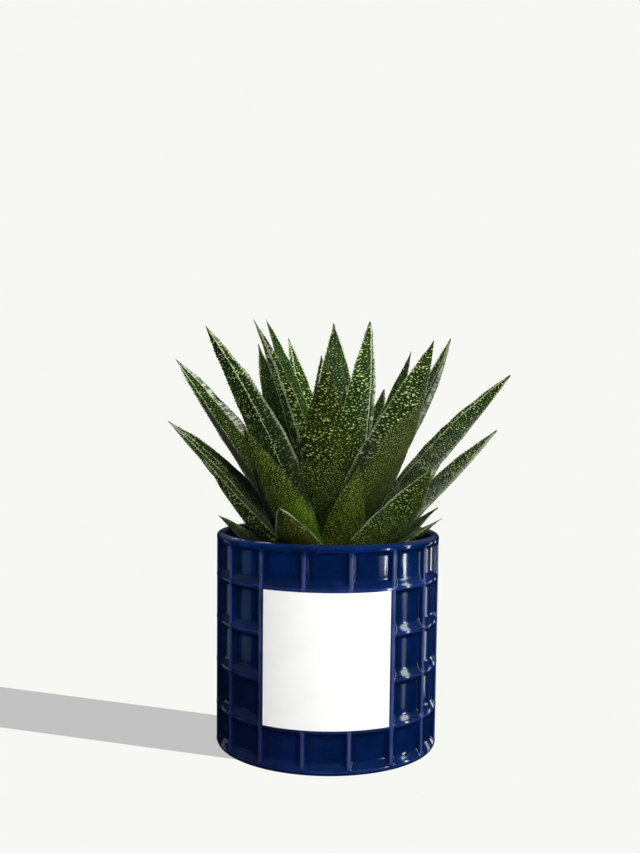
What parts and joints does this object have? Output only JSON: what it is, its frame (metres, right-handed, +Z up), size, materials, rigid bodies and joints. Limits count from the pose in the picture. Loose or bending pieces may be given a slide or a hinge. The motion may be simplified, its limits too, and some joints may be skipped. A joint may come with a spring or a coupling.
{
  "type": "potted gasteria",
  "caption": "Succulent with a rosette of thick, keeled, pointed leaves, growing in soil in a round glazed pot with a grid of sunk panels and a bare paper label.",
  "frame": {"origin": "centre of the flat underside of the pot, where it rests", "axes": "+Z up along the pot's axis, -Y out of the front, where the label is, +X to the right as seen from the front"},
  "size_m": [0.2037, 0.1634, 0.2493],
  "materials": {
    "glazed_ceramic": "high-gloss cobalt blue glaze, paler where it breaks over the ribs and the rim",
    "label_paper": "matte",
    "potting_soil": "matte, crumbly",
    "stem_skin": "matte, fibrous",
    "leaf_skin": "satin, dark green with raised pale dots and pale toothed edges"
  },
  "bodies": {
    "root": {"pot": "glazed_ceramic", "label": "label_paper", "soil": "potting_soil", "stem": "stem_skin", "leaf_01": "leaf_skin", "leaf_02": "leaf_skin", "leaf_03": "leaf_skin", "leaf_04": "leaf_skin", "leaf_05": "leaf_skin", "leaf_06": "leaf_skin", "leaf_07": "leaf_skin", "leaf_08": "leaf_skin", "leaf_09": "leaf_skin", "leaf_10": "leaf_skin", "leaf_11": "leaf_skin", "leaf_12": "leaf_skin", "leaf_13": "leaf_skin", "leaf_14": "leaf_skin", "leaf_15": "leaf_skin", "leaf_16": "leaf_skin", "leaf_17": "leaf_skin", "leaf_18": "leaf_skin", "leaf_19": "leaf_skin", "leaf_20": "leaf_skin", "leaf_21": "leaf_skin", "leaf_22": "leaf_skin", "leaf_23": "leaf_skin", "leaf_24": "leaf_skin", "leaf_25": "leaf_skin", "leaf_26": "leaf_skin", "leaf_27": "leaf_skin", "leaf_28": "leaf_skin", "leaf_29": "leaf_skin", "leaf_30": "leaf_skin", "leaf_31": "leaf_skin", "leaf_32": "leaf_skin", "leaf_33": "leaf_skin", "leaf_34": "leaf_skin", "leaf_35": "leaf_skin", "leaf_36": "leaf_skin", "leaf_37": "leaf_skin"}
  },
  "joints": []
}
